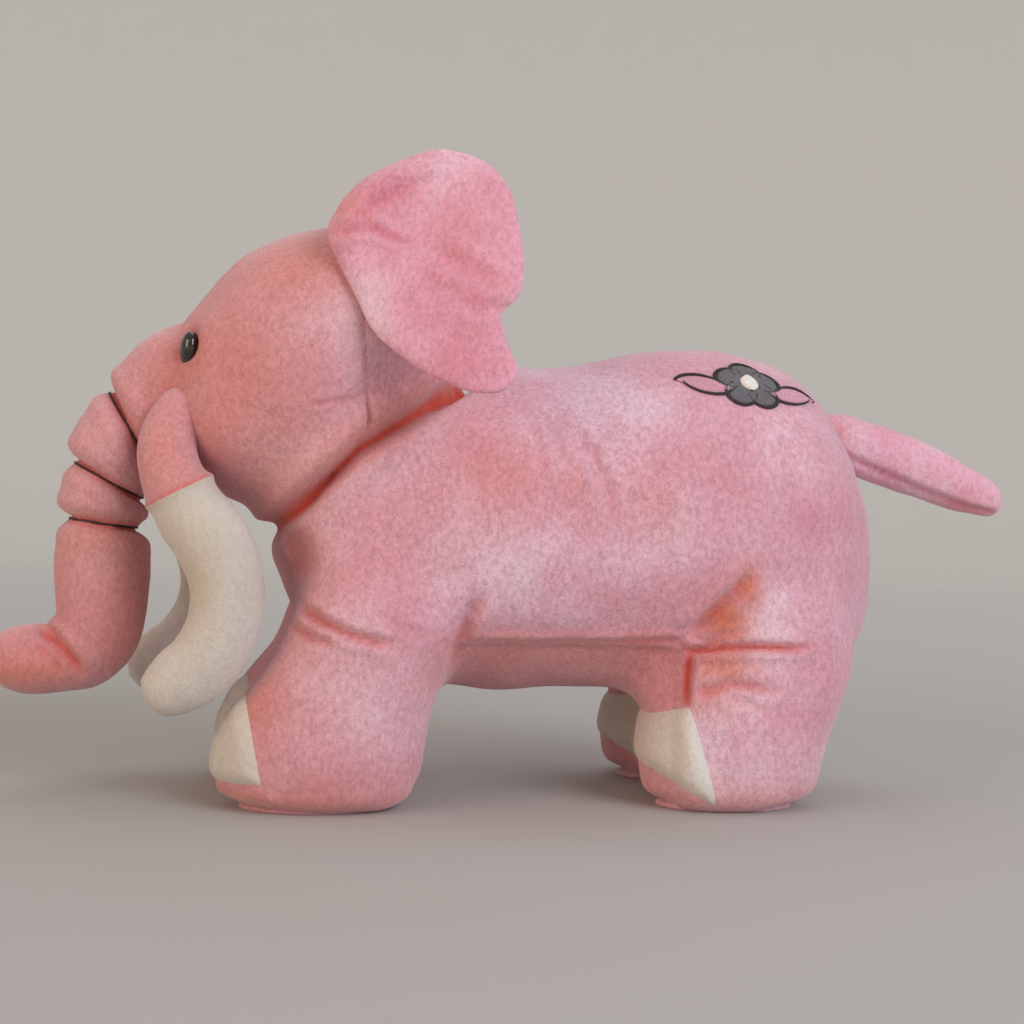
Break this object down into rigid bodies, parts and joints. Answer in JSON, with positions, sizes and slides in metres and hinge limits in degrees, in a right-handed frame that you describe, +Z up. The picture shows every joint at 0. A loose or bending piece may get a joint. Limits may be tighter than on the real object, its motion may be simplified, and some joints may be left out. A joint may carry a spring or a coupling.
{
  "type": "stuffed elephant",
  "caption": "Pink plush elephant standing on flat soles, with large ears, curved white plush tusks, a trunk tucked into rings, a tail and an embroidered flower on its flank.",
  "frame": {"origin": "middle of the bounding box, on the surface that the four soles stand on", "axes": "+Z up; the head points towards -X and the tail towards +X; the elephant's left side is at -Y"},
  "size_m": [0.4, 0.1574, 0.2365],
  "materials": {
    "pink_plush": "matte",
    "white_plush": "matte",
    "fibre_stuffing": "matte",
    "dark_thread": "matte",
    "embroidery_thread": "satin",
    "eye_plastic": "gloss",
    "washer_plastic": "satin"
  },
  "bodies": {
    "torso": {"left_body_panel": "pink_plush", "right_body_panel": "pink_plush", "belly_gusset": "pink_plush", "body_stuffing": "fibre_stuffing", "rump_embroidery": "embroidery_thread"},
    "head": {"left_head_panel": "pink_plush", "right_head_panel": "pink_plush", "crown_gusset": "pink_plush", "head_stuffing": "fibre_stuffing", "trunk_bridge_skin": "pink_plush", "trunk_bridge_stuffing": "fibre_stuffing", "left_eye": "eye_plastic", "right_eye": "eye_plastic", "left_eye_washer": "washer_plastic", "right_eye_washer": "washer_plastic"},
    "left_ear": {"left_ear_inner_panel": "pink_plush", "left_ear_outer_panel": "pink_plush"},
    "left_tusk": {"left_tusk_sleeve": "pink_plush", "left_tusk_skin": "white_plush", "left_tusk_stuffing": "fibre_stuffing"},
    "right_ear": {"right_ear_inner_panel": "pink_plush", "right_ear_outer_panel": "pink_plush"},
    "right_tusk": {"right_tusk_sleeve": "pink_plush", "right_tusk_skin": "white_plush", "right_tusk_stuffing": "fibre_stuffing"},
    "trunk_upper": {"trunk_upper_skin": "pink_plush", "trunk_upper_stuffing": "fibre_stuffing", "trunk_upper_thread": "dark_thread"},
    "trunk_middle": {"trunk_middle_skin": "pink_plush", "trunk_middle_stuffing": "fibre_stuffing", "trunk_middle_thread": "dark_thread"},
    "trunk_lower": {"trunk_lower_skin": "pink_plush", "trunk_lower_stuffing": "fibre_stuffing", "trunk_lower_thread": "dark_thread"},
    "trunk_tip": {"trunk_tip_skin": "pink_plush", "trunk_tip_stuffing": "fibre_stuffing"},
    "tail": {"tail_skin": "pink_plush", "tail_stuffing": "fibre_stuffing"},
    "left_front_leg": {"left_front_leg_skin": "pink_plush", "left_front_leg_toe_cap": "white_plush", "left_front_leg_sole": "pink_plush", "left_front_leg_stuffing": "fibre_stuffing"},
    "left_hind_leg": {"left_hind_leg_skin": "pink_plush", "left_hind_leg_toe_cap": "white_plush", "left_hind_leg_sole": "pink_plush", "left_hind_leg_stuffing": "fibre_stuffing"},
    "right_front_leg": {"right_front_leg_skin": "pink_plush", "right_front_leg_toe_cap": "white_plush", "right_front_leg_sole": "pink_plush", "right_front_leg_stuffing": "fibre_stuffing"},
    "right_hind_leg": {"right_hind_leg_skin": "pink_plush", "right_hind_leg_toe_cap": "white_plush", "right_hind_leg_sole": "pink_plush", "right_hind_leg_stuffing": "fibre_stuffing"}
  },
  "joints": [
    {"name": "neck_nod", "type": "hinge", "parent": "torso", "child": "head", "pos_m": [-0.065, 0, 0.13], "axis": [0, 1, 0], "range_deg": [-3, 8], "stiffness_Nm_per_rad": 1.6},
    {"name": "left_ear_flap", "type": "hinge", "parent": "head", "child": "left_ear", "pos_m": [-0.0715, -0.044, 0.189], "axis": [0.4122, -0.3879, -0.8244], "range_deg": [-6, 75], "stiffness_Nm_per_rad": 0.06},
    {"name": "right_ear_flap", "type": "hinge", "parent": "head", "child": "right_ear", "pos_m": [-0.0715, 0.044, 0.189], "axis": [-0.4122, -0.3879, 0.8244], "range_deg": [-6, 75], "stiffness_Nm_per_rad": 0.06},
    {"name": "left_tusk_sway", "type": "hinge", "parent": "head", "child": "left_tusk", "pos_m": [-0.133, -0.028, 0.137], "axis": [0, 1, 0], "range_deg": [-4, 14], "stiffness_Nm_per_rad": 0.12},
    {"name": "right_tusk_sway", "type": "hinge", "parent": "head", "child": "right_tusk", "pos_m": [-0.133, 0.028, 0.137], "axis": [0, 1, 0], "range_deg": [-4, 14], "stiffness_Nm_per_rad": 0.12},
    {"name": "trunk_upper_curl", "type": "hinge", "parent": "head", "child": "trunk_upper", "pos_m": [-0.15, 0, 0.136], "axis": [0, 1, 0], "range_deg": [-8, 14], "stiffness_Nm_per_rad": 0.25},
    {"name": "trunk_middle_curl", "type": "hinge", "parent": "trunk_upper", "child": "trunk_middle", "pos_m": [-0.1575, 0, 0.116], "axis": [0, 1, 0], "range_deg": [-8, 14], "stiffness_Nm_per_rad": 0.25},
    {"name": "trunk_lower_curl", "type": "hinge", "parent": "trunk_middle", "child": "trunk_lower", "pos_m": [-0.1593, 0, 0.1], "axis": [0, 1, 0], "range_deg": [-8, 14], "stiffness_Nm_per_rad": 0.25},
    {"name": "trunk_tip_curl", "type": "hinge", "parent": "trunk_lower", "child": "trunk_tip", "pos_m": [-0.168, 0, 0.0505], "axis": [0, 1, 0], "range_deg": [-8, 14], "stiffness_Nm_per_rad": 0.12},
    {"name": "tail_swing", "type": "hinge", "parent": "torso", "child": "tail", "pos_m": [0.123, 0, 0.1415], "axis": [0, 1, 0], "range_deg": [-30, 30], "stiffness_Nm_per_rad": 0.08},
    {"name": "left_front_leg_swing", "type": "hinge", "parent": "torso", "child": "left_front_leg", "pos_m": [-0.06, -0.033, 0.062], "axis": [0, 1, 0], "range_deg": [-8, 8], "stiffness_Nm_per_rad": 2.5},
    {"name": "left_hind_leg_swing", "type": "hinge", "parent": "torso", "child": "left_hind_leg", "pos_m": [0.088, -0.033, 0.06], "axis": [0, 1, 0], "range_deg": [-9, 9], "stiffness_Nm_per_rad": 2.5},
    {"name": "right_front_leg_swing", "type": "hinge", "parent": "torso", "child": "right_front_leg", "pos_m": [-0.06, 0.033, 0.062], "axis": [0, 1, 0], "range_deg": [-8, 8], "stiffness_Nm_per_rad": 2.5},
    {"name": "right_hind_leg_swing", "type": "hinge", "parent": "torso", "child": "right_hind_leg", "pos_m": [0.088, 0.033, 0.06], "axis": [0, 1, 0], "range_deg": [-9, 9], "stiffness_Nm_per_rad": 2.5}
  ]
}
